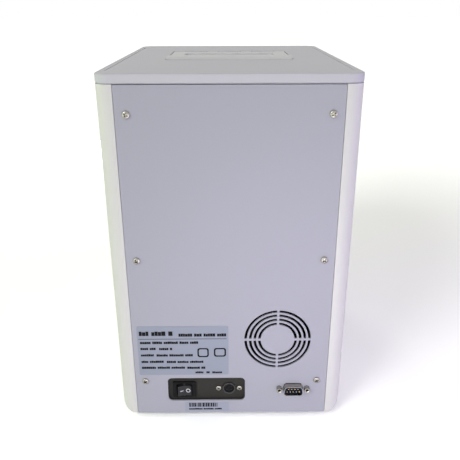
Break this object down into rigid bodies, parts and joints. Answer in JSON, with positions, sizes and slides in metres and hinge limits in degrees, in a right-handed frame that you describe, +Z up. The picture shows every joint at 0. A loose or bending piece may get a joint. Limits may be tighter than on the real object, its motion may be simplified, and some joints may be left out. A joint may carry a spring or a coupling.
{
  "type": "nucleic acid extractor",
  "caption": "Upright bench extractor with smoked front door, touch screen, fold-flat top handle, slotted rear fan guard and a magnet-rod mechanism over a sliding plate nest.",
  "frame": {"origin": "on the bench under the middle of the whole instrument's box", "axes": "+Z up, the door and screen face -Y, the connectors and fan face +Y, +X to the right seen from the front"},
  "size_m": [0.2, 0.292, 0.3085],
  "materials": {
    "cover_plastic": "fine moulded texture",
    "shell_plastic": "satin moulded white",
    "panel_paint": "powder coat, fine texture",
    "bezel_plastic": "satin moulded white",
    "handle_plastic": "satin moulded white",
    "smoked_window": "polished tinted sheet",
    "grip_plastic": "satin",
    "screen_glass": "polished black",
    "module_steel": "plain sheet",
    "label_film": "printed film, bare",
    "code_film": "printed film, plain bars",
    "dark_plate": "fine satin",
    "black_plastic": "satin black",
    "nickel": "bright nickel",
    "pin_gold": "bright",
    "connector_insulator": "dark blue moulded",
    "ground_steel": "ground shaft",
    "sheet_steel": "plated sheet",
    "machined_aluminium": "fine milled",
    "anodised_black": "satin anodised",
    "magnet_nickel": "polished",
    "motor_steel": "satin black",
    "fan_plastic": "moulded black",
    "belt_rubber": "moulded, toothed",
    "foot_rubber": "matte",
    "lamp_glass": "clear quartz",
    "holder_plastic": "moulded",
    "board_laminate": "solder mask",
    "board_parts": "moulded",
    "bush_polymer": "moulded"
  },
  "bodies": {
    "housing": {"base_tray": "sheet_steel", "left_side_shell": "shell_plastic", "right_side_shell": "shell_plastic", "rear_panel": "panel_paint", "top_cover": "cover_plastic", "front_bezel": "bezel_plastic", "rubber_feet": "foot_rubber", "rear_panel_screws": "nickel", "rating_label": "label_film", "code_label": "code_film", "touch_glass": "screen_glass", "display_module": "module_steel", "door_hinge_pins": "ground_steel", "handle_hinge_pin": "ground_steel", "left_frame_plate": "sheet_steel", "right_frame_plate": "sheet_steel", "gantry_plate": "sheet_steel", "uv_lamp": "lamp_glass", "lamp_holders": "holder_plastic", "board_standoffs": "nickel", "control_board": "board_laminate", "board_components": "board_parts", "power_plate": "dark_plate", "switch_housing": "black_plastic", "jack_body": "black_plastic", "jack_insert": "black_plastic", "jack_screws": "nickel", "serial_shell": "nickel", "serial_insulator": "connector_insulator", "serial_pins": "pin_gold", "serial_jackscrews": "nickel", "fan_housing": "fan_plastic", "fan_studs": "nickel", "carriage_rails": "ground_steel", "rail_blocks": "machined_aluminium", "timing_belt": "belt_rubber", "idler_axle": "ground_steel", "index_motor": "motor_steel", "lift_shafts": "ground_steel", "lift_shaft_blocks": "machined_aluminium", "lift_motor": "motor_steel"},
    "door": {"door_window": "smoked_window", "door_grip": "grip_plastic"},
    "handle": {"carry_handle": "handle_plastic"},
    "switch_rocker": {"rocker": "black_plastic"},
    "fan_wheel": {"fan_rotor": "fan_plastic"},
    "plate_carriage": {"plate_deck": "anodised_black", "carriage_bushes": "bush_polymer", "heating_bars": "machined_aluminium"},
    "index_drive": {"index_pulley": "machined_aluminium"},
    "belt_idler": {"idler_pulley": "machined_aluminium"},
    "lift_leadscrew": {"lift_screw": "ground_steel"},
    "comb_lift_frame": {"comb_carriage": "machined_aluminium", "comb_bushes": "bush_polymer", "comb_holder": "anodised_black", "magnet_guides": "ground_steel", "magnet_motor": "motor_steel"},
    "magnet_leadscrew": {"magnet_screw": "ground_steel"},
    "magnet_head": {"magnet_block": "machined_aluminium", "magnet_rods": "magnet_nickel"}
  },
  "joints": [
    {"name": "door_hinge", "type": "hinge", "parent": "housing", "child": "door", "pos_m": [0, -0.1375, 0.1995], "axis": [-1, 0, 0], "range_deg": [0, 90]},
    {"name": "handle_hinge", "type": "hinge", "parent": "housing", "child": "handle", "pos_m": [0, -0.057, 0.30325], "axis": [1, 0, 0], "range_deg": [0, 90]},
    {"name": "power_rocker", "type": "hinge", "parent": "housing", "child": "switch_rocker", "pos_m": [0.0424, 0.1378, 0.0285], "axis": [0, 0, -1], "range_deg": [0, 16]},
    {"name": "fan_spin", "type": "hinge", "parent": "housing", "child": "fan_wheel", "pos_m": [-0.0406, 0.1175, 0.0819], "axis": [0, 1, 0], "continuous": true},
    {"name": "plate_index", "type": "slide", "parent": "housing", "child": "plate_carriage", "axis": [0, 1, 0], "range_m": [-0.0225, 0.0225]},
    {"name": "index_pulley_turn", "type": "hinge", "parent": "housing", "child": "index_drive", "pos_m": [0.062, 0.056, 0.03], "axis": [1, 0, 0], "range_deg": [-202.9, 202.9]},
    {"name": "idler_pulley_turn", "type": "hinge", "parent": "housing", "child": "belt_idler", "pos_m": [0.062, -0.114, 0.03], "axis": [1, 0, 0], "range_deg": [-202.9, 202.9]},
    {"name": "comb_lift", "type": "slide", "parent": "housing", "child": "comb_lift_frame", "axis": [0, 0, 1], "range_m": [-0.04, 0]},
    {"name": "lift_screw_turn", "type": "hinge", "parent": "housing", "child": "lift_leadscrew", "pos_m": [0, 0.046, 0.086], "axis": [0, 0, 1], "range_deg": [-1, 1801]},
    {"name": "magnet_plunge", "type": "slide", "parent": "comb_lift_frame", "child": "magnet_head", "axis": [0, 0, 1], "range_m": [-0.045, 0]},
    {"name": "magnet_screw_turn", "type": "hinge", "parent": "comb_lift_frame", "child": "magnet_leadscrew", "pos_m": [0, -0.037, 0.127], "axis": [0, 0, 1], "range_deg": [-1, 2701]}
  ],
  "couplings": [
    {"joint": "index_pulley_turn", "follows": "plate_index", "rad_per_m": -156.99},
    {"joint": "idler_pulley_turn", "follows": "plate_index", "rad_per_m": -156.99},
    {"joint": "lift_screw_turn", "follows": "comb_lift", "rad_per_m": -785.4},
    {"joint": "magnet_screw_turn", "follows": "magnet_plunge", "rad_per_m": -1047.2}
  ]
}
